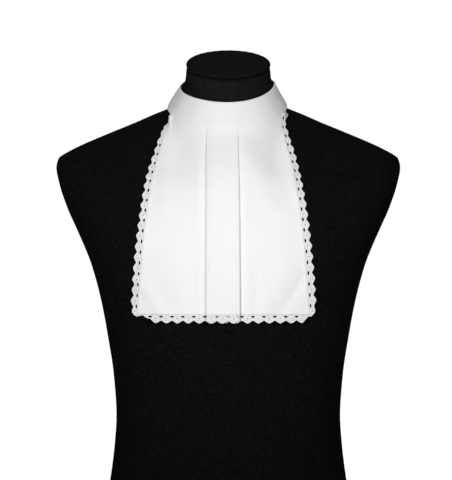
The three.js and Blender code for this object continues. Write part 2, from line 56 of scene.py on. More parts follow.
camera = bpy.data.objects.new("camera", bpy.data.cameras.new("camera"))
bpy.context.scene.collection.objects.link(camera)
camera.data.sensor_fit = "AUTO"
camera.data.sensor_width = SENSOR
camera.data.lens = SENSOR * CAMERA_DISTANCE / view_height
camera.location = Vector((camera_x, -CAMERA_DISTANCE, camera_z)) * MM
camera.rotation_euler = (math.radians(90), 0, 0)
camera.data.clip_end = 100
bpy.context.scene.camera = camera

# ---------------- sizes of the form and the cloth


class Table:
    """A short table with named columns, read between its rows by a smooth curve that never overshoots."""

    def __init__(self, names, rows):
        self.columns = {name: np.array(values, float) for name, values in zip(names, zip(*rows))}
        self.along = self.columns[names[0]]

    def at(self, place, column):
        x, y = self.along, self.columns[column]
        t = np.clip(np.asarray(place, float), x[0], x[-1])
        i = np.clip(np.searchsorted(x, t) - 1, 0, len(x) - 2)
        slope = np.diff(y) / np.diff(x)
        tangent = np.empty(len(x))
        tangent[0], tangent[-1] = slope[0], slope[-1]
        before, after = slope[:-1], slope[1:]
        total = np.where(before * after > 0, before + after, 1)
        tangent[1:-1] = np.where(before * after > 0, 2 * before * after / total, 0)
        step = x[i + 1] - x[i]
        u = (t - x[i]) / step
        v = 1 - u
        return (
            y[i] * (1 + 2 * u) * v * v
            + tangent[i] * step * u * v * v
            + y[i + 1] * u * u * (3 - 2 * u)
            - tangent[i + 1] * step * u * u * v
        )


CLEARANCE = 0.8  # from the form to the cloth
WALL = 1.0  # of the bib's solid
BAND_WALL = 2.0
BIB_LENGTH = 250  # nominal, for shares of the drop and the weave's coordinates
HEM_Z = 350.5
HANG_Z = 402  # below this the bib hangs free of the form
HANG_EASE = 22
FLARE = 0.035  # forward swing of the hanging part, for each mm of fall
SEAM_BLEND = 16
TUCK = 2.2  # how far the bib and the edgings run up inside the band
BIB_BEHIND_BAND = 0.05
STAND_OFF = 1.2  # how far the cotton stands off the solid's middle, so its troughs stay clear of the form
CREASE_FADE = 34  # the creases and the stand-off fade out over this height below the seam
EASE_FADE = 15  # the same for the smoothing that lets the cloth bridge the form's own bends
EASE_PASSES = 40

NECK_SEAM = dict(shift_x=-1.2, half_width=76.5, centre_y=4, front=69, back=60, side_z=613.5)
NECK_SEAM |= dict(drop=25, dip=7.5, roll=0.012, twist=0, back_tuck=0)
BAND_TOP = dict(shift_x=-1.2, half_width=60, centre_y=-5, front=55.5, back=52.5, side_z=640.5)
BAND_TOP |= dict(drop=22.7, dip=2.7, roll=0, twist=0.04, back_tuck=0.02)
BACK_TUCK_REACH = 0.35  # share of the way round to the nape over which the band's back draws in
OVERLAP = dict(half_angle=9, ramp_angle=20, lift=2.4)

BIB = Table(
    ("drop", "half_width", "centre_x"),
    [
        (0.0, 71.0, -1.4),
        (0.04, 70.2, -3.0),
        (0.13, 75.7, -4.9),
        (0.2, 79.4, -5.5),
        (0.37, 89.8, -6.0),
        (0.58, 97.2, -6.1),
        (0.8, 102.8, -6.2),
        (1.0, 106.5, -6.2),
    ],
)
PLEAT = Table(
    ("drop", "centre_x", "half_width", "layer_rise"),
    [(0.0, -7.4, 19.2, 0.45), (0.15, -7.2, 19.4, 1.0), (0.5, -6.6, 19.8, 1.6), (1.0, -6.2, 20.0, 2.2)],
)
PLEAT_RETURN = 16.5
FOLD_RADIUS = 0.75

TORSO = Table(
    ("z", "half_width", "front", "back", "square"),
    [
        (0, 166, 101, 106, 2.3),
        (5, 170, 105, 110, 2.3),
        (50, 169, 107, 112, 2.3),
        (100, 158.5, 105, 108, 2.3),
        (141, 150.4, 101, 99, 2.3),
        (187, 144.9, 97, 86, 2.3),
        (218, 143, 96, 81, 2.3),
        (271, 146.5, 99, 83, 2.3),
        (317, 153.4, 104, 88, 2.3),
        (363, 161.9, 109, 95, 2.35),
        (410, 174.3, 110, 101, 2.4),
        (433, 183.0, 107.5, 104, 2.4),
        (456, 192.8, 101, 106, 2.4),
        (486, 206.0, 86, 105, 2.4),
        (517, 216.3, 70, 99, 2.4),
        (536, 219.8, 58, 92, 2.4),
        (548, 217.0, 52, 86, 2.4),
        (555.5, 205.5, 49.5, 81, 2.35),
        (563, 190.3, 47, 76, 2.3),
        (579, 151.0, 41, 64, 2.2),
        (590, 122.8, 36, 54, 2.1),
        (602, 92.8, 30, 44, 2.0),
        (610, 66.0, 24, 36, 2.0),
        (620, 36.0, 18, 26, 2.0),
        (663, 20.0, 14, 18, 2.0),
    ],
)
NECK = Table(
    ("z", "lean", "centre_y", "half_width", "front", "back"),
    [
        (0, 0, 0, 10, 10, 10),
        (410, 0, 0, 40, 40, 10),
        (433, 0, 0, 76, 64, 10),
        (456, 0, 0, 96, 86, 10),
        (480, 0, 0, 104, 93, 10),
        (500, 0, 0, 104, 92.5, 12),
        (515, 0.5, 0, 100, 89.5, 20),
        (530, 2, 0, 95, 86, 30),
        (545, 4.5, 1, 90, 82, 42),
        (560, 8, 2, 86, 78.5, 54),
        (575, 12, 3, 83, 74.5, 62),
        (590, 15.5, 3, 78, 69, 66),
        (600, 17.5, 3, 73, 65.5, 66),
        (612, 19, 1, 65.5, 61, 62.5),
        (622, 20, -1, 60.5, 57.5, 58),
        (632, 20.5, -3, 57.5, 54.5, 55),
        (641, 21, -5, 56, 52.5, 53),
        (650, 21.6, -6.5, 54.4, 51.3, 51.5),
        (661, 23, -8, 53.4, 50.2, 50.2),
        (663, 23.2, -8, 50.4, 47.3, 47.3),
    ],
)
BLEND_POWER = 6
NECK_TOP = 663


def smooth(share):
    t = np.clip(share, 0, 1)
    return t * t * (3 - 2 * t)


def unit(vectors):
    return vectors / np.linalg.norm(vectors, axis=-1)[..., None]


def run_along(points):
    """Distance run along a line of points, from its first."""
    return np.concatenate([[0], np.cumsum(np.linalg.norm(np.diff(points, axis=0), axis=1))])


def oval_radius(half_width, front, back, power, angle):
    depth = np.where(np.cos(angle) > 0, front, back)
    across = np.abs(np.sin(angle)) / half_width
    along = np.abs(np.cos(angle)) / depth
    return (across**power + along**power) ** (-1 / power)


def form_section(z):
    """Everything that sets the form's section at each height."""
    torso = [TORSO.at(z, name) for name in ("half_width", "front", "back", "square")]
    neck = [NECK.at(z, name) for name in ("half_width", "front", "back")] + [2.0]
    return z, np.radians(NECK.at(z, "lean")), NECK.at(z, "centre_y"), torso, neck


def section_radius(section, angle):
    torso = oval_radius(*section[3], angle)
    neck = oval_radius(*section[4], angle)
    larger = np.maximum(torso, neck)
    ratio = np.minimum(torso, neck) / larger
    return larger * (1 + ratio**BLEND_POWER) ** (1 / BLEND_POWER)


def section_point(section, angle):
    z, lean, centre_y = section[:3]
    radius = section_radius(section, angle)
    forward = radius * np.cos(angle)
    x = radius * np.sin(angle)
    return np.stack([x, centre_y - forward * np.cos(lean), z - forward * np.sin(lean)], -1)


def form_front(x, z):
    """Depth of the form's front at points of its front view."""
    x, z = np.broadcast_arrays(np.asarray(x, float), np.asarray(z, float))
    level = z.copy()
    for _ in range(6):
        section = form_section(level)
        low, high = np.zeros_like(x), np.full_like(x, math.pi / 2)
        for _ in range(16):
            middle = (low + high) / 2
            short = section_radius(section, middle) * np.sin(middle) < np.abs(x)
            low, high = np.where(short, middle, low), np.where(short, high, middle)
        point = section_point(section, np.sign(x) * low)
        level = level + z - point[..., 2]
    return point[..., 1]


def neck_loop(loop, angle):
    """Points of a closed curve round the neck, at angles from the front."""
    forward = np.cos(angle)
    tuck = 1 - loop["back_tuck"] * smooth(-forward / BACK_TUCK_REACH)
    x = loop["shift_x"] + loop["half_width"] * np.sin(angle) * tuck
    depth = np.where(forward > 0, loop["front"], loop["back"])
    tip = loop["roll"] + loop["twist"] * (x / loop["half_width"]) ** 2
    z = loop["side_z"] - loop["drop"] * forward - loop["dip"] * forward**2 + tip * x
    return np.stack([x, loop["centre_y"] - depth * forward, z], -1)


def seam_at_x(x):
    share = np.clip((x - NECK_SEAM["shift_x"]) / NECK_SEAM["half_width"], -0.995, 0.995)
    return neck_loop(NECK_SEAM, np.arcsin(share))


def resting_front(x, z):
    reach = 1.5
    depth = form_front(x, z)
    slope_x = (form_front(x + np.sign(x) * reach, z) - depth) / reach
    slope_z = (depth - form_front(x, z - reach)) / reach
    return depth - (CLEARANCE + WALL / 2) * np.sqrt(1 + slope_x**2 + slope_z**2)


def cloth_front(x, z):
    """Depth of the draped cloth's middle, as in the solids."""
    seam = seam_at_x(x)
    height = np.minimum(z, seam[..., 2])
    above = height - HANG_Z
    eased = HANG_Z + (np.clip(above, -HANG_EASE, HANG_EASE) + HANG_EASE) ** 2 / (4 * HANG_EASE)
    resting = np.minimum(np.where(above > HANG_EASE, height, eased), seam[..., 2])
    draped = resting_front(x, resting) - FLARE * (resting - height)
    near_seam = 1 - smooth((seam[..., 2] - height) / SEAM_BLEND)
    seam_miss = seam[..., 1] + BIB_BEHIND_BAND - resting_front(x, seam[..., 2])
    return draped + seam_miss * near_seam


# ---------------- creases of the bib

# Each crease runs from one point of the front view to another; lift is out of the cloth, in mm.
CREASES = [
    # x0, z0, x1, z1, half width, lift, bend as a share of the length
    # left panel: the cloth turns over the collar bone and runs down beside the edging
    (-75, 586, -78, 540, 11, 3.2, 0.06),
    (-80, 538, -75, 476, 8, 1.6, 0.05),
    (-56, 572, -50, 520, 10, -0.8, 0.08),
    (-104, 470, -107, 410, 7, 0.8, 0),
    (-58, 452, -64, 372, 11, 0.8, 0.04),
    # right panel: a slanting swell from the pleat's top towards the edge, and one along the edging
    (16, 594, 40, 516, 16, 3.3, 0.05),
    (60, 574, 62, 520, 9, -1.4, 0.04),
    (78, 566, 88, 486, 8, 2.2, 0.03),
    (30, 520, 70, 470, 12, 0.9, 0.08),
    (84, 470, 88, 404, 9, -0.4, 0),
    # lower corners, where the edging draws the hem up
    (-112, 392, -82, 348, 7, 1.2, -0.03),
    (-96, 408, -66, 350, 8, -0.7, 0.04),
    (61, 348, 94, 400, 6.5, -1.5, 0.02),
    (42, 356, 74, 416, 10, 1.1, 0.04),
    # short soft folds rising from the hem
    (-41, 404, -39, 348, 4.5, -1.2, 0.03),
    (34, 404, 33, 348, 4.5, -1.1, -0.03),
    (-56, 392, -54, 350, 6, 0.6, 0),
    (50, 384, 49, 350, 5, 0.5, 0),
    # beside the pleat's two folds
    (-38, 566, -37, 346, 6, 0.7, 0),
    (-29.2, 590, -28.8, 340, 3.8, -0.9, 0),
    (-28.6, 548, -28.0, 340, 4.4, -0.5, 0),
    (22, 566, 22, 346, 7, 0.6, 0),
    (14.6, 560, 15.0, 340, 3.2, -1.0, 0),
]
# The same for the pleat's top layer alone.
PLEAT_CREASES = [
    (-19, 576, -18, 346, 5, 0.8, 0),
    (6, 560, 8, 346, 5, 0.4, 0),
    (-6, 470, -5, 346, 4, -0.4, 0),
]
# A crease reaches past its two points by one share of its length, and fades in over the other.
CREASE_END, CREASE_TAPER = 0.18, 0.42


def crease_lift(creases, x, z):
    """Sum of soft troughs and ridges, each fading towards its two ends and its sides."""
    lift = np.zeros(np.broadcast(x, z).shape)
    for x0, z0, x1, z1, half_width, height, bend in creases:
        length = math.hypot(x1 - x0, z1 - z0)
        ux, uz = (x1 - x0) / length, (z1 - z0) / length
        along = ((x - x0) * ux + (z - z0) * uz) / length
        across = (x - x0) * uz - (z - z0) * ux
        bowed = across - bend * length * np.sin(math.pi * np.clip(along, 0, 1))
        profile = np.exp(-((bowed / half_width) ** 2))
        ends = smooth((along + CREASE_END) / CREASE_TAPER) * smooth((1 + CREASE_END - along) / CREASE_TAPER)
        lift += height * profile * ends
    return lift


class ClothSurface:
    """The draped cloth's depth on a grid of the front view, read with a smooth cubic."""

    STEP = 2.5
    LEFT, RIGHT, LOW, HIGH = -132.0, 126.0, 330.0, 620.0

    def __init__(self):
        self.x0, self.z0 = self.LEFT, self.LOW
        xs = np.arange(self.x0, self.RIGHT, self.STEP)
        zs = np.arange(self.z0, self.HIGH, self.STEP)
        grid_x, grid_z = np.meshgrid(xs, zs)
        below_seam = seam_at_x(grid_x)[..., 2] - grid_z
        fade, ease = smooth(below_seam / CREASE_FADE), smooth(below_seam / EASE_FADE)
        lift = STAND_OFF + crease_lift(CREASES, grid_x, grid_z)
        draped = cloth_front(grid_x, grid_z)
        eased = draped.copy()
        for _ in range(EASE_PASSES):
            eased[1:-1] = (eased[:-2] + 2 * eased[1:-1] + eased[2:]) / 4
        self.depth = draped + (eased - draped) * ease - fade * lift

    def front(self, x, z):
        rows, columns = self.depth.shape
        u = np.clip((x - self.x0) / self.STEP, 1, columns - 3)
        v = np.clip((z - self.z0) / self.STEP, 1, rows - 3)
        i, j = np.floor(u).astype(int), np.floor(v).astype(int)

        def weights(t):
            return (
                ((-0.5 * t + 1.0) * t - 0.5) * t,
                (1.5 * t - 2.5) * t * t + 1.0,
                ((-1.5 * t + 2.0) * t + 0.5) * t,
                (0.5 * t - 0.5) * t * t,
            )

        total = np.zeros(np.broadcast(u, v).shape)
        for a, wa in enumerate(weights(v - j)):
            for b, wb in enumerate(weights(u - i)):
                total += wa * wb * self.depth[j + a - 1, i + b - 1]
        return total

    def normal(self, x, z):
        reach = 1.2
        slope_x = (self.front(x + reach, z) - self.front(x - reach, z)) / (2 * reach)
        slope_z = (self.front(x, z) - self.front(x, z - 2 * reach)) / (2 * reach)
        size = np.sqrt(1 + slope_x**2 + slope_z**2)
        return np.stack([slope_x / size, -1 / size, slope_z / size], -1)

    def point(self, x, z, rise):
        """Points of the cloth at x and z of the front view, risen out of its middle."""
        normal = self.normal(x, z)
        lower = z - normal[..., 2] * rise
        middle = np.stack(np.broadcast_arrays(x, self.front(x, lower), lower), -1)
        return middle + normal * np.asarray(rise)[..., None]


CLOTH = ClothSurface()


def bib_height(x, drop):
    top = seam_at_x(x)[..., 2] + TUCK
    return top + (HEM_Z - top) * drop


# ---------------- meshes


def mesh_object(name, vertices, faces, material, uv=None):
    """A smooth-shaded mesh piece from points in mm; uv is a pair for each vertex."""
    mesh = bpy.data.meshes.new(name)
    vertices = np.asarray(vertices, float) * MM
    mesh.from_pydata(vertices.tolist(), [], [list(map(int, f)) for f in faces])
    mesh.polygons.foreach_set("use_smooth", [True] * len(mesh.polygons))
    if uv is not None:
        layer = mesh.uv_layers.new(name="cloth")
        loops = np.empty(len(mesh.loops), int)
        mesh.loops.foreach_get("vertex_index", loops)
        layer.data.foreach_set("uv", np.asarray(uv, float)[loops].ravel())
    mesh.materials.append(material)
    mesh.update()
    piece = bpy.data.objects.new(name, mesh)
    bpy.context.scene.collection.objects.link(piece)
    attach(piece, "root")
    return piece


def grid_faces(rows, columns, start=0, close=False, flip=False):
    """Quads of a grid of points stored row by row."""
    across = columns if close else columns - 1
    i, k = np.meshgrid(np.arange(rows - 1), np.arange(across), indexing="ij")
    a = start + i * columns + k
    b = start + i * columns + (k + 1) % columns
    quads = np.stack([a, b, b + columns, a + columns], -1).reshape(-1, 4)
    return quads[:, ::-1] if flip else quads


def end_faces(count, columns):
    """The two flat ends of a tube of grid_faces with this many points in all."""
    return [list(range(columns))[::-1], list(range(count - columns, count))]


class Batch:
    """Many small bodies joined into one mesh."""

    def __init__(self):
        self.vertices, self.faces, self.uv, self.count = [], [], [], 0

    def add(self, vertices, faces, uv=None):
        vertices = np.asarray(vertices, float).reshape(-1, 3)
        self.vertices.append(vertices)
        self.faces.append([[int(i) + self.count for i in face] for face in faces])
        no_uv = np.zeros((len(vertices), 2))
        self.uv.append(no_uv if uv is None else np.asarray(uv, float).reshape(-1, 2))
        self.count += len(vertices)

    def piece(self, name, material, slot):
        faces = [face for group in self.faces for face in group]
        vertices, uv = np.concatenate(self.vertices), np.concatenate(self.uv)
        return mesh_object(name, vertices, faces, material, uv)


# ---------------- materials


def new_material(name, colour, roughness, sheen, specular):
    material = bpy.data.materials.new(name)
    material.use_nodes = True
    shader = material.node_tree.nodes["Principled BSDF"]
    values = {"Base Color": (*colour, 1), "Roughness": roughness}
    values |= {"Sheen Weight": sheen, "Specular IOR Level": specular}
    for socket, value in values.items():
        shader.inputs[socket].default_value = value
    return material, material.node_tree, shader


def node(tree, kind, **values):
    made = tree.nodes.new(kind)
    for key, value in values.items():
        if key in made.inputs:
            made.inputs[key].default_value = value
        else:
            setattr(made, key, value)
    return made


def stretched_noise(tree, stretch, scale, detail):
    """Noise on the object's own metres, stretched along its axes: slubs of a woven thread."""
    where = node(tree, "ShaderNodeTexCoord")
    mapping = node(tree, "ShaderNodeMapping")
    mapping.inputs["Scale"].default_value = stretch
    noise = node(tree, "ShaderNodeTexNoise", Scale=scale, Detail=detail, Roughness=0.6)
    tree.links.new(where.outputs["Object"], mapping.inputs["Vector"])
    tree.links.new(mapping.outputs["Vector"], noise.inputs["Vector"])
    return noise.outputs["Fac"]


def cloth_coordinates(tree):
    """The piece's own cloth coordinates, in mm."""
    where = node(tree, "ShaderNodeTexCoord")
    split = node(tree, "ShaderNodeSeparateXYZ")
    tree.links.new(where.outputs["UV"], split.inputs["Vector"])
    return split.outputs


def thread_wave(tree, along, thread):
    """One wave for each thread along a cloth coordinate."""
    turn = node(tree, "ShaderNodeMath", operation="MULTIPLY")
    turn.inputs[1].default_value = 2 * math.pi / thread
    sine = node(tree, "ShaderNodeMath", operation="SINE")
    tree.links.new(along, turn.inputs[0])
    tree.links.new(turn.outputs[0], sine.inputs[0])
    return sine.outputs[0]


def weave(tree, thread):
    """Plain weave: warp and weft ridges, one thread apart."""
    outputs = cloth_coordinates(tree)
    crossed = node(tree, "ShaderNodeMath", operation="MULTIPLY")
    for place, axis in enumerate(("X", "Y")):
        tree.links.new(thread_wave(tree, outputs[axis], thread), crossed.inputs[place])
    return crossed.outputs[0]


def bump(tree, shader, height, strength, distance, after=None):
    made = node(tree, "ShaderNodeBump", Strength=strength, Distance=distance)
    tree.links.new(height, made.inputs["Height"])
    if after is not None:
        tree.links.new(after, made.inputs["Normal"])
    tree.links.new(made.outputs["Normal"], shader.inputs["Normal"])
    return made.outputs["Normal"]


def vary_colour(tree, shader, factor, dark, light, start=0.3, end=0.7):
    ramp = node(tree, "ShaderNodeValToRGB")
    ramp.color_ramp.elements[0].position = start
    ramp.color_ramp.elements[1].position = end
    ramp.color_ramp.elements[0].color = (*dark, 1)
    ramp.color_ramp.elements[1].color = (*light, 1)
    tree.links.new(factor, ramp.inputs["Fac"])
    tree.links.new(ramp.outputs["Color"], shader.inputs["Base Color"])


def form_cloth_material(name, dark, light):
    """Black plain-woven linen with slubs, matt; its colour follows the bump's noise, lighter where the
    threads are raised: random slub tone and a painted highlight on the raised threads.
    """
    middle = tuple((low + high) / 2 for low, high in zip(dark, light))
    material, tree, shader = new_material(name, middle, 0.95, 0.0, 0.02)
    weft = stretched_noise(tree, (0.14, 0.14, 1.0), 900, 2)
    warp = stretched_noise(tree, (1.0, 1.0, 0.12), 820, 2)
    both = node(tree, "ShaderNodeMath", operation="ADD")
    tree.links.new(weft, both.inputs[0])
    tree.links.new(warp, both.inputs[1])
    halved = node(tree, "ShaderNodeMath", operation="MULTIPLY")
    halved.inputs[1].default_value = 0.5
    tree.links.new(both.outputs[0], halved.inputs[0])
    # The same noise sets colour and bump: lighter where raised, slub tone together with a painted highlight
    # on the raised threads.
    vary_colour(tree, shader, halved.outputs[0], dark, light, 0.32, 0.72)
    bump(tree, shader, halved.outputs[0], 0.8, 0.0012)
    return material


def cotton_material(name, colour):
    """Crisp white cotton lawn: fine weave, soft unevenness, hardly any gloss."""
    material, tree, shader = new_material(name, colour, 0.75, 0.05, 0.25)
    soft = stretched_noise(tree, (1, 1, 1), 60, 2)
    low = tuple(c * 0.985 for c in colour)
    vary_colour(tree, shader, soft, low, colour)
    broad = bump(tree, shader, soft, 0.10, 0.0012)
    bump(tree, shader, weave(tree, 0.45), 0.12, 0.00012, broad)
    return material


def thread_material(name, colour, thread):
    """Shiny white embroidery thread: stitches side by side across the run."""
    material, tree, shader = new_material(name, colour, 0.5, 0.1, 0.4)
    wave = thread_wave(tree, cloth_coordinates(tree)["X"], thread)
    bump(tree, shader, wave, 0.5, 0.00015)
    return material


BLACK = form_cloth_material("form_cloth", (0.0014, 0.0014, 0.0015), (0.0087, 0.0087, 0.0093))
# Painted light: a lighter black for the neck, standing in for the brighter light on it, not a different
# cloth.
NECK_PAINTED_LIGHT_BLACK = form_cloth_material("form_neck_painted_light_cloth", (0.0042, 0.0042, 0.0044), (0.0174, 0.0174, 0.0182))
CAP_BLACK = form_cloth_material("form_cap_cloth", (0.0030, 0.0030, 0.0032), (0.0140, 0.0140, 0.0147))
COTTON = cotton_material("white_cotton", (0.88, 0.88, 0.885))
# The lace ground is darker than the cotton: partly the open net's own see-through tone, partly painted shade
# in the grooves between the raised satin borders.
LACE_GROUND = cotton_material("lace_ground", (0.76, 0.76, 0.765))
SATIN = thread_material("satin_stitch", (0.93, 0.93, 0.93), 0.4)
STITCH = thread_material("sewing_thread", (0.86, 0.86, 0.865), 0.3)

# ---------------- dress form

FORM_COLUMNS = 176
# Painted light: above this height, and within this reach of the middle, the neck's cloth gets a lighter black
# that stands in for the brighter light the neck catches; it starts under the band.
NECK_PAINTED_LIGHT_Z = 612
NECK_PAINTED_LIGHT_REACH = 75
# Sewn seams of the form's cover: angles from the front in degrees, sunk depth, half width and top end.
FORM_SEAMS = (1.2, 90, 180, 270)
FORM_SEAM = dict(depth=0.7, half_width=0.9, top_z=600, fade=20)


def form_levels():
    """Heights of the form's rings, closer where it turns quickly."""
    parts = [(0, 5, 3), (5, 500, 62), (500, 560, 16), (560, 628, 30), (628, 661, 14), (661, 663, 3)]
    heights = [np.linspace(low, high, count, endpoint=False) for low, high, count in parts]
    return np.concatenate([*heights, [NECK_TOP]])


def build_form():
    levels = form_levels()
    rows = []
    for z in levels:
        section = form_section(float(z))
        across = max(section[3][0], section[4][0])
        turn = np.arange(FORM_COLUMNS) * 2 * math.pi / FORM_COLUMNS
        front = max(section[3][1], section[4][1])
        back = max(section[3][2], section[4][2])
        depth = np.where(np.cos(turn) > 0, front, back)
        angle = np.arctan2(across * np.sin(turn), depth * np.cos(turn))
        rows.append(section_point(section, angle))
    points = np.stack(rows)
    below_neck = smooth((FORM_SEAM["top_z"] - points[..., 2]) / FORM_SEAM["fade"])
    plan = np.degrees(np.arctan2(points[..., 0], -points[..., 1]))
    radius = np.hypot(points[..., 0], points[..., 1])
    for seam in FORM_SEAMS:
        off = np.radians((plan - seam + 180) % 360 - 180) * radius
        groove = FORM_SEAM["depth"] * np.exp(-((off / FORM_SEAM["half_width"]) ** 2)) * below_neck
        shrink = 1 - groove / np.maximum(radius, 1)
        points[..., 0] *= shrink
        points[..., 1] *= shrink
    vertices = points.reshape(-1, 3)
    faces = list(grid_faces(len(levels), FORM_COLUMNS, close=True))
    faces += end_faces(len(vertices), FORM_COLUMNS)
    piece = mesh_object("form_cover", vertices, faces, BLACK)
    # The neck's faces get the lighter black, painted light on the neck.
    piece.data.materials.append(NECK_PAINTED_LIGHT_BLACK)
    for polygon in piece.data.polygons:
        if polygon.center.z > NECK_PAINTED_LIGHT_Z * MM and abs(polygon.center.x) < NECK_PAINTED_LIGHT_REACH * MM:
            polygon.material_index = 1
    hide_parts("form_body")
    return piece


# From the middle of the underside, round the edge bead and over the dished top: share of the radius, height.
CAP_PROFILE = [(0.0, 0.3), (0.925, 0.3), (0.95, 0.6), (0.982, 1.5), (1.006, 2.6), (1.016, 3.8)]
CAP_PROFILE += [(1.013, 5.0), (0.998, 6.1), (0.972, 6.9), (0.94, 7.15), (0.905, 6.85), (0.86, 6.35)]
CAP_PROFILE += [(0.8, 6.1), (0.7, 6.35), (0.5, 7.2), (0.25, 7.9), (0, 8.1)]
CAP_RADIUS = (53.0, 50.2)
CAP_PUCKERS = dict(count=31, height=0.12, at=0.97, reach=0.05)  # small gathers at its edge seam


def build_cap():
    """Padded disc on the neck: a round of cloth drawn over a pad, its edge seam just below the top."""
    columns = 128
    turn = np.arange(columns) * 2 * math.pi / columns
    lean = math.radians(float(NECK.at(NECK_TOP, "lean")))
    centre_y = float(NECK.at(NECK_TOP, "centre_y"))
    rows = []
    for share, up in CAP_PROFILE:
        share = max(share, 0.002)
        x = CAP_RADIUS[0] * share * np.sin(turn)
        y = -CAP_RADIUS[1] * share * np.cos(turn)
        near_seam = math.exp(-(((share - CAP_PUCKERS["at"]) / CAP_PUCKERS["reach"]) ** 2))
        height = up + CAP_PUCKERS["height"] * np.sin(CAP_PUCKERS["count"] * turn) * near_seam
        world_y = centre_y + y * math.cos(lean) - height * math.sin(lean)
        world_z = NECK_TOP + y * math.sin(lean) + height * math.cos(lean)
        rows.append(np.stack([x, world_y, world_z], -1))
    vertices = np.concatenate(rows)
    faces = list(grid_faces(len(rows), columns, close=True)) + end_faces(len(vertices), columns)
    piece = mesh_object("neck_cap", vertices, faces, CAP_BLACK)
    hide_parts("form_neck_cap")
    return piece


# ---------------- neck band

BAND_HEIGHTS = 22
BAND_COLUMNS = 300
BAND_RADIUS, BAND_HEIGHT = 68, 38  # nominal, for the weave's coordinates
INSIDE_OFFSET = 50  # keeps the inside's cloth coordinates apart from the outside's
# Where the band stands out over the pleat, and how much thinner its lower edge is.
OVER_PLEAT = dict(x=-7.4, half_width=24, fade=7, rise=0.75, height_share=0.6)
THIN_FOOT = dict(loss=0.5, height_share=0.12)
# Rows of stitches round the band: share of its height.
BAND_STITCHES = (0.83, 0.3, 0.085)
STITCH_TRENCH = dict(depth=0.12, share=0.013)
# Upright dents and swells of the band: degrees from the front, half width in degrees, depth in mm.
BAND_DENTS = [(52, 9, 0.35), (-47, 8, -0.4), (12, 3.5, 0.3), (-62, 6, 0.3)]
BAND_DENTS += [(95, 12, -0.3), (-110, 10, 0.3), (140, 9, 0.3)]


def band_frame(degrees):
    """Low and high edge of the band and the way out of it, at angles from the front."""
    angle = np.radians(degrees)
    end = 180 + OVERLAP["half_angle"]
    ramp_start = end - 2 * OVERLAP["half_angle"] - OVERLAP["ramp_angle"]
    lift = OVERLAP["lift"] * smooth((degrees - ramp_start) / OVERLAP["ramp_angle"])
    low = neck_loop(NECK_SEAM, angle)
    high = neck_loop(BAND_TOP, angle)
    along = neck_loop(NECK_SEAM, angle + 0.01) - neck_loop(NECK_SEAM, angle - 0.01)
    out = np.cross(along, high - low)
    out /= np.linalg.norm(out, axis=-1)[..., None]
    return low, high, out, lift


def band_point(degrees, share, rise):
    """A point on the band: share of its height, and rise out of its middle."""
    low, high, out, lift = band_frame(degrees)
    share = np.asarray(share)[..., None]
    return low + (high - low) * share + out * (lift + rise)[..., None]


def band_half_wall(degrees, share, side):
    """Half the band's thickness: thin along its lower edge, and fuller in front where the pleat goes in."""
    if side < 0:
        return np.full(np.shape(degrees), BAND_WALL / 2)
    foot = 1 - smooth(share / THIN_FOOT["height_share"])
    x = NECK_SEAM["shift_x"] + NECK_SEAM["half_width"] * np.sin(np.radians(degrees))
    inside = OVER_PLEAT["half_width"] - np.abs(x - OVER_PLEAT["x"])
    over_pleat = smooth(inside / OVER_PLEAT["fade"]) * (np.abs(degrees) < 90)
    low_down = 1 - smooth(share / OVER_PLEAT["height_share"])
    return BAND_WALL / 2 - THIN_FOOT["loss"] * foot + OVER_PLEAT["rise"] * over_pleat * low_down


def build_band():
    end = 180 + OVERLAP["half_angle"]
    degrees = np.linspace(-end, end, BAND_COLUMNS)
    shares = np.linspace(0, 1, BAND_HEIGHTS)
    # section: up the outside, over the rounded rim, down the inside
    rim = [(0.998, 0.86), (1.01, 0.62), (1.018, 0.22), (1.018, -0.22), (1.01, -0.62), (0.998, -0.86)]
    outside = [(s, 1.0) for s in (0.02, 0.05, 0.08, *shares[3:-1])]
    inside = [(s, -1.0) for s in shares[1:-1][::-1]]
    foot = [(0.0, -0.9), (-0.012, 0.0), (0.0, 0.8)]
    section = outside + rim + inside + foot
    columns = []
    for share, side in section:
        shape = np.full(BAND_COLUMNS, share)
        rise = side * band_half_wall(degrees, share, side) + band_relief(degrees, shape, side)
        columns.append(band_point(degrees, shape, rise))
    points = np.stack(columns, 1)
    count = len(section)
    vertices = points.reshape(-1, 3)
    faces = list(grid_faces(BAND_COLUMNS, count, close=True)) + end_faces(len(vertices), count)
    u = np.repeat(np.radians(degrees) * BAND_RADIUS, count)
    heights = [share * BAND_HEIGHT + (0 if side > 0 else INSIDE_OFFSET) for share, side in section]
    v = np.tile(heights, BAND_COLUMNS)
    piece = mesh_object("neck_band", vertices, faces, COTTON, np.stack([u, v], -1))
    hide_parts("band")
    return piece


def band_relief(degrees, share, side):
    """Sunk stitch lines, and soft dents where the band bends round the neck."""
    stitched = sum(np.exp(-(((share - row) / STITCH_TRENCH["share"]) ** 2)) for row in BAND_STITCHES)
    body = np.sin(math.pi * np.clip(share, 0, 1))
    dents = 0.3 * np.sin(np.radians(degrees * 3 + 40)) * body**2
    for place, spread, depth in BAND_DENTS:
        dents += depth * np.exp(-(((degrees - place) / spread) ** 2)) * body
    return dents - side * STITCH_TRENCH["depth"] * stitched


# ---------------- bib

BIB_SHELL = 0.5  # thickness of the cotton
HEM_FOLD = dict(width=3.0, extra=0.15, stitched=2.2)  # narrow turned edge, and its stitches' inset
BIB_ROWS = 150


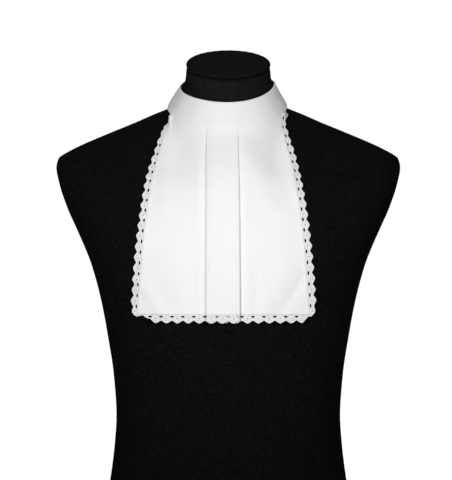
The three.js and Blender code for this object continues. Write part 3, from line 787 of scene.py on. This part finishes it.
def bib_path(drop, returns=(PLEAT_RETURN, PLEAT_RETURN)):
    """The cloth's path across the bib: (x, rise above the panel), the same as in the solids but rounded."""
    centre = float(PLEAT.at(drop, "centre_x"))
    rise = float(PLEAT.at(drop, "layer_rise"))
    fold = float(PLEAT.at(drop, "half_width")) - FOLD_RADIUS

    def side(sign):
        inner = fold - returns[sign > 0]
        edge = float(BIB.at(drop, "centre_x")) + sign * float(BIB.at(drop, "half_width"))
        panel_end = centre + sign * inner
        panel = [(edge + (panel_end - edge) * share, 0.0) for share in PANEL_SHARES]
        turn_x, turn_rise = FOLD_RADIUS * np.cos(TURN), 0.5 * rise * np.sin(TURN)
        turns = list(zip(panel_end - sign * turn_x, 0.5 * rise + turn_rise))
        back = [(panel_end + (centre + sign * fold - panel_end) * share, rise) for share in RETURN_SHARES]
        outer = list(zip(centre + sign * (fold + turn_x), 1.5 * rise + turn_rise))
        return panel + turns + back + outer

    top = [(centre + fold * share, 2 * rise) for share in TOP_SHARES]
    return np.array(side(-1) + top + side(1)[::-1])


PANEL_SHARES = np.concatenate([[0, 0.006, 0.012, 0.02, 0.03, 0.036], np.linspace(0.055, 1, 50)])
TURN = np.linspace(-math.pi / 2, math.pi / 2, 9)[1:-1]
RETURN_SHARES = np.linspace(0, 1, 8)
TOP_SHARES = np.linspace(-1, 1, 34)


def face_offsets(path):
    """Unit direction out of the cloth's front along a path in x and rise."""
    ahead = unit(np.diff(path, axis=0))
    both = unit(np.vstack([ahead[:1], ahead[:-1] + ahead[1:], ahead[-1:]]))
    return np.stack([-both[:, 1], both[:, 0]], -1)


def build_bib():
    front_rows, back_rows, uv_rows = [], [], []
    drops = np.concatenate([[0, 0.004, 0.008], np.linspace(0.016, 0.985, BIB_ROWS - 6), [0.989, 0.994, 1]])
    for drop in drops:
        path = bib_path(float(drop))
        offset = face_offsets(path)
        z = bib_height(path[:, 0], drop)
        layer = path[:, 1].max() / 2
        top_layer = smooth((path[:, 1] - 1.2 * layer) / (0.6 * layer))
        lift = path[:, 1] + top_layer * crease_lift(PLEAT_CREASES, path[:, 0], z)
        run = run_along(path)
        to_edge = np.minimum(np.minimum(run, run[-1] - run), (1 - drop) * BIB_LENGTH)
        fold = HEM_FOLD["extra"] * (1 - smooth((to_edge - HEM_FOLD["width"]) / 0.7))
        half = BIB_SHELL / 2
        for out, side_rows in ((half + fold, front_rows), (-half, back_rows)):
            side_rows.append(CLOTH.point(path[:, 0] + offset[:, 0] * out, z, lift + offset[:, 1] * out))
        uv_rows.append(np.stack([run - run[-1] / 2, np.full(len(run), drop * BIB_LENGTH)], -1))
    rows, columns = len(drops), len(front_rows[0])
    loops = [np.concatenate([back, front[::-1]]) for front, back in zip(front_rows, back_rows)]
    uv = np.concatenate([np.concatenate([row, row[::-1]]) for row in uv_rows])
    count = 2 * columns
    vertices = np.concatenate(loops)
    faces = list(grid_faces(rows, count, close=True))
    for row in (0, rows - 1):
        start = row * count
        last = start + count - 1
        strip = [[start + k, start + k + 1, last - 1 - k, last - k] for k in range(columns - 1)]
        faces += strip if row else [quad[::-1] for quad in strip]
    piece = mesh_object("bib_cotton", vertices, faces, COTTON, uv)
    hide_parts("bib")
    return piece


# ---------------- lace edging

LACE = dict(under=-1.2, scallop=13.5, notch=6.8, tip=10.5)
# One scallop: share of the repeat, and share of the way from notch to tip.
SCALLOP = [(0.0, 0.0), (0.12, 0.27), (0.25, 0.56), (0.36, 0.81), (0.44, 0.95), (0.5, 1.0)]
SCALLOP += [(1 - along, out) for along, out in SCALLOP[-2::-1]]
SLOT = dict(centre=2.2, half_length=2.3, half_width=1.3)
EYELET = dict(out=4.5, hole=0.65, ring=3.0)  # centre from the cloth's edge, hole and outer radius
SATIN_WIDTH = 1.5
HEADING = dict(w=0.55, half=0.6, height=0.34)  # the corded edge along the cloth
LACE_THICKNESS = 0.3
WIDE_ENOUGH = 0.68  # share of the lace's width that still holds a slot or an eyelet

# Share of its width that an edging keeps, by the distance from one of its ends.
def end_table(*rows):
    return Table(("s", "kept"), rows)


SIDE_LOW_END = end_table((0, 0.12), (2.2, 0.52), (4.8, 0.74), (9, 0.82), (13.5, 1))
LEFT_SEAM_END = end_table(
    (0, 0.3), (8, 0.4), (20, 0.47), (34, 0.52), (50, 0.74), (80, 0.87), (150, 0.92), (200, 1)
)
RIGHT_SEAM_END = end_table((0, 1.0), (6, 0.98), (14, 0.78), (40, 0.74), (66, 0.84), (150, 0.92), (220, 1))
HEM_LEFT_END = end_table((0, 0.2), (3, 0.25), (6.6, 0.05), (11, 0.36), (16.3, 0.72), (20, 0.93), (24, 1))
HEM_RIGHT_END = end_table((0, 0.12), (4, 0.45), (8, 0.85), (11, 1))
SIDE = {
    -1: dict(first_notch=10, seam_turn=48, seam_end=LEFT_SEAM_END),
    1: dict(first_notch=11, seam_turn=16, seam_end=RIGHT_SEAM_END),
}
BELOW_HEM = 2.3  # how far a side edging's last scallop hangs below the cloth's corner
HEM_LACE = dict(left=-0.2, right=-1.4, first_notch=16.3, returns=(16.5, 15.5))


class Edging:
    """One lace edging: its length, first notch, and place(s, w, t) for points along, across and out of it."""

    def __init__(self, length, first_notch, place, ends, folds=()):
        self.length, self.place, self.ends, self.folds = length, place, ends, np.array(folds, float)
        pitch = LACE["scallop"]
        self.starts = np.arange(first_notch - 2 * pitch, length + pitch, pitch)
        self.notches = np.array([s for s in self.starts if 2.5 < s < length - 2.5])
        s, w = [], []
        for start in self.starts:
            for along, out in SCALLOP[:-1]:
                s.append(start + along * pitch)
                w.append(LACE["notch"] + (LACE["tip"] - LACE["notch"]) * out)
        self.corner_s, self.corner_w = np.array(s), np.array(w)

    def kept(self, s):
        return self.ends[0].at(s, "kept") * self.ends[1].at(self.length - np.asarray(s), "kept")

    def width(self, s):
        """Rounded outline of the scallops."""
        shifts = (-0.45, -0.15, 0.15, 0.45)
        total = sum(np.interp(s + shift, self.corner_s, self.corner_w) for shift in shifts)
        return total / len(shifts) * self.kept(s)

    def clear_of_folds(self, s, reach):
        return not len(self.folds) or np.abs(self.folds - s).min() > reach

    def cells(self):
        """Middles of the scallops wide enough for an eyelet."""
        middles = self.starts + LACE["scallop"] / 2
        inside = middles[(middles > 2.5) & (middles < self.length - 2.5)]
        return [s for s in inside if self.kept(s) > WIDE_ENOUGH and self.clear_of_folds(s, 3.0)]

    def flat(self):
        """Width and length of the strip as it is cut, and its area, scallops taken off."""
        widest = LACE["tip"] - LACE["under"]
        mean = (LACE["tip"] + LACE["notch"]) / 2 - LACE["under"]
        return (widest * MM, self.length * MM), mean * self.length * MM**2

    def open_notches(self):
        return [s for s in self.notches if self.kept(s) > WIDE_ENOUGH]


def ring_mesh(edging, path_s, path_w, half_width, height, closed):
    """A raised satin border along a path on the lace: an oval section swept along it."""
    count = len(path_s)
    ahead_s = np.roll(path_s, -1) - np.roll(path_s, 1) if closed else np.gradient(path_s)
    ahead_w = np.roll(path_w, -1) - np.roll(path_w, 1) if closed else np.gradient(path_w)
    size = np.hypot(ahead_s, ahead_w)
    side_s, side_w = -ahead_w / size, ahead_s / size
    sides = 8
    turn = np.arange(sides) * 2 * math.pi / sides
    across = np.multiply.outer(np.broadcast_to(half_width, (count,)), np.cos(turn))
    out = height * np.sin(turn) + 0.05
    s = path_s[:, None] + side_s[:, None] * across
    w = path_w[:, None] + side_w[:, None] * across
    t = np.broadcast_to(out, s.shape)
    vertices = edging.place(s, w, t).reshape(-1, 3)
    step = np.hypot(np.diff(path_s, prepend=path_s[0]), np.diff(path_w, prepend=path_w[0]))
    u = np.repeat(np.cumsum(step), sides)
    v = np.tile(turn, count)
    faces = list(grid_faces(count, sides, close=True))
    if closed:
        last = (count - 1) * sides
        faces += [[last + k, last + (k + 1) % sides, (k + 1) % sides, k] for k in range(sides)]
    else:
        faces += end_faces(count * sides, sides)
    return vertices, faces, np.stack([u, v], -1)


def diamond(centre_s, centre_w, reach_s, reach_w, power, count):
    """A closed path round a point: a circle at power 2, a rounded diamond below it."""
    turn = np.arange(count) * 2 * math.pi / count
    radius = (np.abs(np.cos(turn)) ** power + np.abs(np.sin(turn)) ** power) ** (-1 / power)
    return centre_s + reach_s * radius * np.cos(turn), centre_w + reach_w * radius * np.sin(turn)


def lace_ground(edging, batch):
    """The embroidered net of the edging, cut away in its slots and eyelets and beyond its scallops."""
    step = 0.4
    s = np.linspace(0, edging.length, int(edging.length / step) + 1)
    w_share = np.linspace(0, 1, 28)
    grid_s = np.repeat(s[:, None], len(w_share), 1)
    reach = np.maximum(edging.width(s) - 0.5, LACE["under"] + 0.5)
    grid_w = LACE["under"] + (reach[:, None] - LACE["under"]) * w_share
    keep = np.ones((len(s) - 1, len(w_share) - 1), bool)
    mid_s = (grid_s[:-1, :-1] + grid_s[1:, 1:]) / 2
    mid_w = (grid_w[:-1, :-1] + grid_w[1:, 1:]) / 2
    for notch in edging.open_notches():
        along, across = (mid_s - notch) / SLOT["half_length"], (mid_w - SLOT["centre"]) / SLOT["half_width"]
        keep &= along**2 + across**2 > 1
    for middle in edging.cells():
        keep &= np.hypot(mid_s - middle, mid_w - EYELET["out"]) > EYELET["hole"] + 0.15
    faces = grid_faces(len(s), len(w_share)).reshape(len(s) - 1, len(w_share) - 1, 4)[keep]
    heights = [np.full(grid_s.shape, side * LACE_THICKNESS / 2 - 0.1) for side in (1, -1)]
    layers = [edging.place(grid_s, grid_w, height) for height in heights]
    uv = np.stack([grid_s, grid_w], -1).reshape(-1, 2)
    behind = grid_s.size
    edges = np.concatenate([faces[:, [k, (k + 1) % 4]] for k in range(4)])
    ordered = np.sort(edges, axis=1)
    _, index, uses = np.unique(ordered, axis=0, return_index=True, return_counts=True)
    rim = edges[index[uses == 1]]
    walls = np.stack([rim[:, 1], rim[:, 0], rim[:, 0] + behind, rim[:, 1] + behind], -1)
    used = np.unique(np.concatenate([faces.ravel(), faces.ravel() + behind]))
    points = np.concatenate([layer.reshape(-1, 3) for layer in layers])[used]
    renumber = np.zeros(2 * behind, int)
    renumber[used] = np.arange(len(used))
    every_face = np.concatenate([faces, faces[:, ::-1] + behind, walls])
    batch.add(points, renumber[every_face], np.concatenate([uv, uv])[used])


def lace_satin(edging, batch):
    """The satin-stitched borders: scallops, eyelets, slots and the heading."""
    half = SATIN_WIDTH / 2
    s = np.arange(0.3, edging.length - 0.3, 0.5)
    width = edging.width(s)
    narrow = np.minimum(half, np.maximum(width * 0.4, 0.25))
    batch.add(*ring_mesh(edging, s, width - narrow, narrow, 0.42, False))
    heading = np.full(len(s), HEADING["w"])
    batch.add(*ring_mesh(edging, s, heading, HEADING["half"], HEADING["height"], False))
    for notch in edging.open_notches():
        if edging.clear_of_folds(notch, 3.4):
            border = 0.34
            reach = SLOT["half_length"] + border, SLOT["half_width"] + border * 0.6
            batch.add(*ring_mesh(edging, *diamond(notch, SLOT["centre"], *reach, 2, 20), border, 0.3, True))
    radius = (EYELET["hole"] + EYELET["ring"]) / 2
    half_ring = (EYELET["ring"] - EYELET["hole"]) / 2
    for middle in edging.cells():
        path = diamond(middle, EYELET["out"], radius * 1.05, radius * 0.95, 1.6, 24)
        batch.add(*ring_mesh(edging, *path, half_ring, 0.36, True))


def behind_cloth(w, t):
    """An edging's part under the cloth lies behind it."""
    return t - 0.5 * (1 - smooth((w + 0.15) / 0.8))


def side_edging(sign):
    """The edging down one side of the bib, from the hem's corner up to the neck seam."""
    below = BELOW_HEM / BIB_LENGTH
    drops = np.linspace(1 + below, 0, 341)

    def edge(drop):
        x = BIB.at(drop, "centre_x") + sign * BIB.at(drop, "half_width")
        return x, bib_height(x, drop)

    x, z = edge(drops)
    points = CLOTH.point(x, z, np.zeros_like(x))
    run = run_along(points)
    along = unit(np.gradient(points, axis=0))
    across = unit(np.cross(along, CLOTH.normal(x, z)))
    across *= np.sign(across[:, :1]) * sign
    beside = x + sign
    seamward = unit(CLOTH.point(beside, bib_height(beside, drops), np.zeros_like(x)) - points)
    turn = smooth((run[-1] - run) / SIDE[sign]["seam_turn"])[:, None]
    out = unit(seamward * (1 - turn) + across * turn)

    def place(s, w, t):
        px = np.interp(s, run, x) + np.interp(s, run, out[:, 0]) * w
        pz = np.interp(s, run, z) + np.interp(s, run, out[:, 2]) * w
        return CLOTH.point(px, pz, behind_cloth(w, t))

    ends = SIDE_LOW_END, SIDE[sign]["seam_end"]
    return Edging(run[-1], SIDE[sign]["first_notch"] + BELOW_HEM, place, ends)


def hem_edging():
    """The edging along the hem, pleated with the bib."""
    path = bib_path(1.0, HEM_LACE["returns"])
    left, right = path[0, 0] + HEM_LACE["left"], path[-1, 0] - HEM_LACE["right"]
    inside = path[(path[:, 1] > 0) | ((path[:, 0] > left + 0.5) & (path[:, 0] < right - 0.5))]
    path = np.vstack([[left, 0], inside, [right, 0]])
    offset = face_offsets(path)
    run = run_along(path)
    turning = np.abs(np.gradient(path[:, 1])) > 0.05

    def place(s, w, t):
        px = np.interp(s, run, path[:, 0]) + np.interp(s, run, offset[:, 0]) * t
        rise = np.interp(s, run, path[:, 1]) + np.interp(s, run, offset[:, 1]) * behind_cloth(w, t)
        return CLOTH.point(px, HEM_Z - w, rise)

    return Edging(run[-1], HEM_LACE["first_notch"], place, (HEM_LEFT_END, HEM_RIGHT_END), run[turning])


def build_lace(name, node_name, edging, flip):
    ground, satin = Batch(), Batch()
    lace_ground(edging, ground)
    lace_satin(edging, satin)
    if flip:
        for batch in (ground, satin):
            batch.faces = [[face[::-1] for face in group] for group in batch.faces]
    base = ground.piece(name + "_ground", LACE_GROUND, "white_lace")
    border = satin.piece(name + "_satin", SATIN, "white_lace")
    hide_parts(node_name)
    flat, area = edging.flat()


# ---------------- stitching


def stitch_line(batch, points, normals, pitch=2.6, share=0.72, radius=0.2):
    """A row of stitches lying along a line of points: each a small bead of thread."""
    run = run_along(points)
    sides = 6
    turn = np.arange(sides) * 2 * math.pi / sides
    # share of its length, share of its radius, and height of its middle
    profile = [(-0.5, 0.15, -0.12), (-0.3, 0.9, 0.05), (0, 1.0, 0.12), (0.3, 0.9, 0.05), (0.5, 0.15, -0.12)]

    def at(line, s):
        return np.array([np.interp(s, run, line[:, k]) for k in range(3)])

    for middle in np.arange(pitch, run[-1] - pitch / 2, pitch):
        normal = at(normals, middle)
        normal /= np.linalg.norm(normal)
        ahead = at(points, middle + 0.5) - at(points, middle - 0.5)
        ahead /= np.linalg.norm(ahead)
        side = np.cross(ahead, normal)
        rings = []
        for along, swell, up in profile:
            centre = at(points, middle) + ahead * along * pitch * share + normal * up
            ring = centre + radius * swell * (np.outer(np.cos(turn), side) + np.outer(np.sin(turn), normal))
            rings.append(ring)
        batch.add(np.concatenate(rings), list(grid_faces(len(rings), sides, close=True)))


def build_stitching():
    batch = Batch()
    degrees = np.linspace(-172, 184, 500)
    for share in BAND_STITCHES:
        shape = np.full(len(degrees), share)
        rise = band_half_wall(degrees, share, 1) + band_relief(degrees, shape, 1)
        points = band_point(degrees, shape, rise + 0.02)
        stitch_line(batch, points, band_frame(degrees)[2])
    drops = np.linspace(0.004, 0.993, 200)
    for sign in (-1, 1):
        x = BIB.at(drops, "centre_x") + sign * (BIB.at(drops, "half_width") - HEM_FOLD["stitched"])
        z = bib_height(x, drops)
        rise = np.full(len(x), BIB_SHELL / 2 + HEM_FOLD["extra"])
        stitch_line(batch, CLOTH.point(x, z, rise), CLOTH.normal(x, z))
    path = bib_path(0.991)
    top = BIB_SHELL / 2 + HEM_FOLD["extra"]
    for chosen in (path[:, 1] == 0, path[:, 1] == path[:, 1].max()):
        spots = path[chosen]
        across_pleat = np.diff(spots[:, 0]) > 12
        groups = np.split(spots, np.nonzero(across_pleat)[0] + 1)
        for group in groups:
            x = np.linspace(group[0, 0] + 2, group[-1, 0] - 2, 80)
            z = np.full(len(x), HEM_Z + HEM_FOLD["stitched"])
            rise = np.full(len(x), group[0, 1] + top)
            stitch_line(batch, CLOTH.point(x, z, rise), CLOTH.normal(x, z))
    return batch.piece("stitching", STITCH, "white_cotton")


# ---------------- build

build_form()
build_cap()
band = build_band()
bib = build_bib()
build_lace("lace_left", "lace_left", side_edging(-1), False)
build_lace("lace_right", "lace_right", side_edging(1), True)
build_lace("lace_hem", "lace_hem", hem_edging(), True)
stitching = build_stitching()


def line_length(points):
    return float(np.linalg.norm(np.diff(points, axis=0), axis=1).sum())


def declare_cotton():
    """Works out the bib's flat cut with its pleat laid out: its length down the pleat's middle and its
    widths; the band's cut is not worked out, and nothing uses the results.
    """
    drops = np.linspace(0, 1, 60)
    middle = np.full(60, float(PLEAT.at(0.5, "centre_x")))
    length = line_length(CLOTH.point(middle, bib_height(middle, drops), np.zeros(60)))
    widths = 2 * BIB.at(drops, "half_width") + 4 * PLEAT_RETURN


declare_cotton()

# ---------------- floor, world and lights


def build_floor():
    half = 0.95
    bpy.ops.mesh.primitive_plane_add(size=2 * half)
    floor = bpy.context.object
    floor.name = "floor"
    floor.data.materials.append(new_material("floor", (0.6, 0.6, 0.6), 0.9, 0.0, 0.5)[0])


def build_world():
    """White paper behind the form, and softer light from all round."""
    world = bpy.data.worlds.new("studio")
    world.use_nodes = True
    bpy.context.scene.world = world
    tree = world.node_tree
    background = tree.nodes["Background"]
    where = node(tree, "ShaderNodeTexCoord")
    split = node(tree, "ShaderNodeSeparateXYZ")
    edge = node(tree, "ShaderNodeMapRange", **{"From Min": 0.975, "From Max": 0.988})
    mix = node(tree, "ShaderNodeMix", data_type="RGBA")
    mix.inputs[6].default_value = (0.105, 0.105, 0.1064, 1)
    mix.inputs[7].default_value = (1.05, 1.05, 1.05, 1)
    tree.links.new(where.outputs["Generated"], split.inputs["Vector"])
    tree.links.new(split.outputs["Y"], edge.inputs["Value"])
    tree.links.new(edge.outputs["Result"], mix.inputs[0])
    tree.links.new(mix.outputs[2], background.inputs["Color"])


def aimed_light(name, kind, location, target, power):
    light = bpy.data.objects.new(name, bpy.data.lights.new(name, kind))
    bpy.context.scene.collection.objects.link(light)
    light.data.energy = power
    light.location = location
    aim = Vector(target) - Vector(location)
    light.rotation_euler = aim.to_track_quat("-Z", "Y").to_euler()
    return light.data


build_floor()
build_world()
LIGHT_AIM = (0, 0, 0.455)
SPOTS = [("key", (-0.95, -2.2, 0.7), 146), ("fill", (1.1, -2.0, 0.7), 93)]  # name, place in metres, watts
for name, place, power in SPOTS:
    spot = aimed_light(name, "SPOT", place, LIGHT_AIM, power)
    spot.spot_size = math.radians(28)
    spot.spot_blend = 1
    spot.shadow_soft_size = 0.28
top = aimed_light("top", "AREA", (0, 1.0, 2.0), (0, 0, 0.55), 5)
top.size = 1.2
bpy.context.scene.view_settings.view_transform = "Standard"
